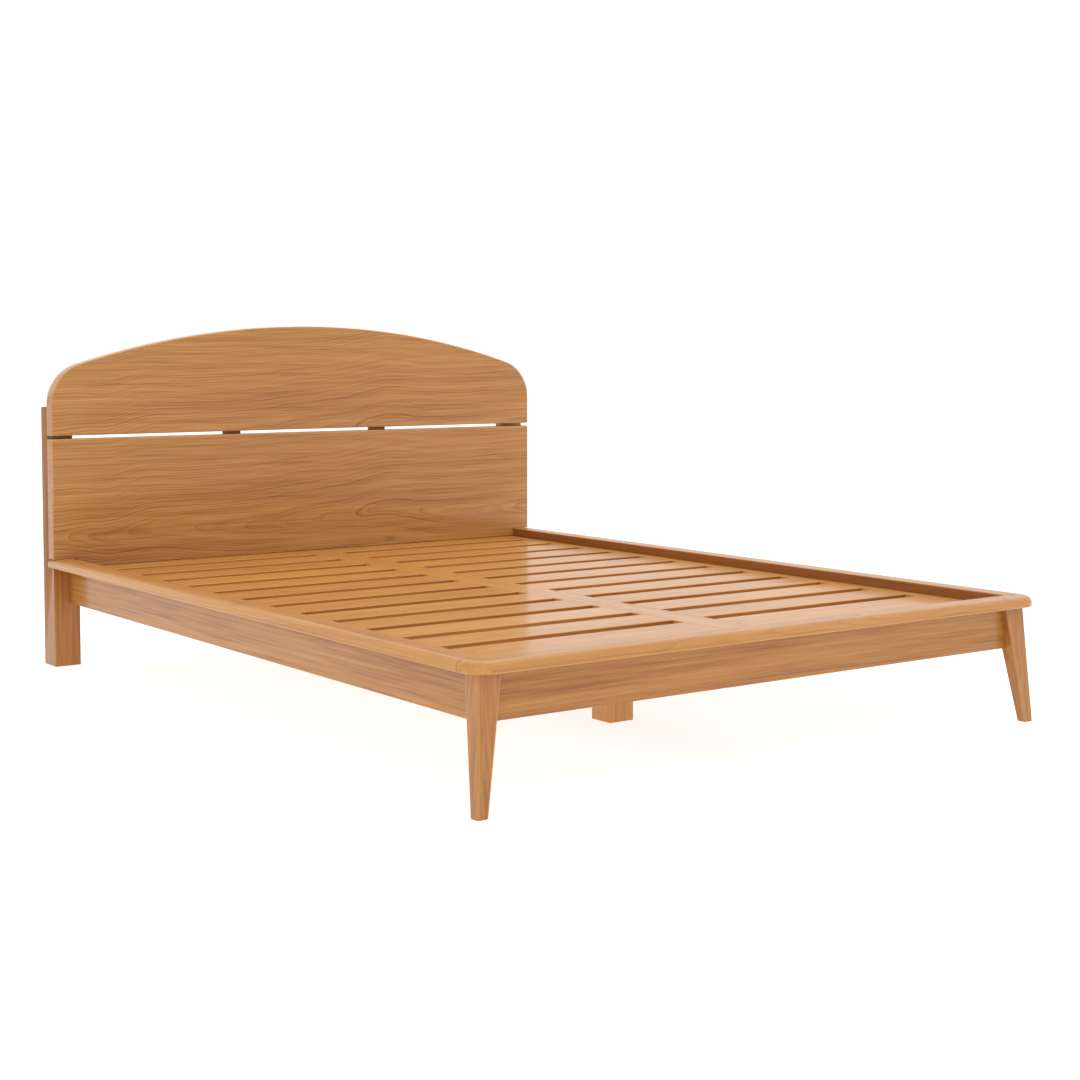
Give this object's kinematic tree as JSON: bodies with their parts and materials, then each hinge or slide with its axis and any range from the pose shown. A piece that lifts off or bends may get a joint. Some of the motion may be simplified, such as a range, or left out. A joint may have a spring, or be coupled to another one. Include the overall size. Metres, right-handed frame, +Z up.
{
  "type": "bed frame",
  "caption": "Queen size wooden bed frame with an arched two-board headboard, a recessed slatted deck and splayed tapered foot legs.",
  "frame": {"origin": "on the floor, under the centre of the bed's bounding box", "axes": "+Z up, +Y along the bed from foot to headboard, +X across the bed"},
  "size_m": [1.65, 2.21, 0.968],
  "materials": {
    "headboard_board": "satin varnish, honey brown, long grain across the bed",
    "frame_wood": "satin varnish, honey brown, grain along each piece",
    "cap_wood": "satin varnish, honey brown, eased edges",
    "slat_wood": "smooth satin varnish, slightly glossy",
    "support_wood": "sealed pale wood, out of sight",
    "bolt_steel": "dark zinc"
  },
  "bodies": {
    "root": {"beam_cradle_foot": "support_wood", "beam_cradle_head": "support_wood", "bed_bolt_left_lower": "bolt_steel", "bed_bolt_left_upper": "bolt_steel", "bed_bolt_right_lower": "bolt_steel", "bed_bolt_right_upper": "bolt_steel", "centre_beam": "support_wood", "centre_leg_foot": "frame_wood", "centre_leg_head": "frame_wood", "centre_stile": "slat_wood", "corner_block_left": "support_wood", "corner_block_right": "support_wood", "foot_apron": "frame_wood", "foot_cap": "cap_wood", "foot_leg_left": "frame_wood", "foot_leg_right": "frame_wood", "head_apron": "frame_wood", "headboard_batten_left": "support_wood", "headboard_batten_right": "support_wood", "headboard_lower_panel": "headboard_board", "headboard_post_left": "frame_wood", "headboard_post_right": "frame_wood", "headboard_upper_panel": "headboard_board", "side_apron_left": "frame_wood", "side_apron_right": "frame_wood", "side_cap_left": "cap_wood", "side_cap_right": "cap_wood", "side_ledger_left": "support_wood", "side_ledger_right": "support_wood", "side_stile_left": "slat_wood", "side_stile_right": "slat_wood", "slat_left_01": "slat_wood", "slat_left_02": "slat_wood", "slat_left_03": "slat_wood", "slat_left_04": "slat_wood", "slat_left_05": "slat_wood", "slat_left_06": "slat_wood", "slat_left_07": "slat_wood", "slat_left_08": "slat_wood", "slat_left_09": "slat_wood", "slat_left_10": "slat_wood", "slat_left_11": "slat_wood", "slat_left_12": "slat_wood", "slat_left_13": "slat_wood", "slat_left_14": "slat_wood", "slat_right_01": "slat_wood", "slat_right_02": "slat_wood", "slat_right_03": "slat_wood", "slat_right_04": "slat_wood", "slat_right_05": "slat_wood", "slat_right_06": "slat_wood", "slat_right_07": "slat_wood", "slat_right_08": "slat_wood", "slat_right_09": "slat_wood", "slat_right_10": "slat_wood", "slat_right_11": "slat_wood", "slat_right_12": "slat_wood", "slat_right_13": "slat_wood", "slat_right_14": "slat_wood"}
  },
  "joints": []
}
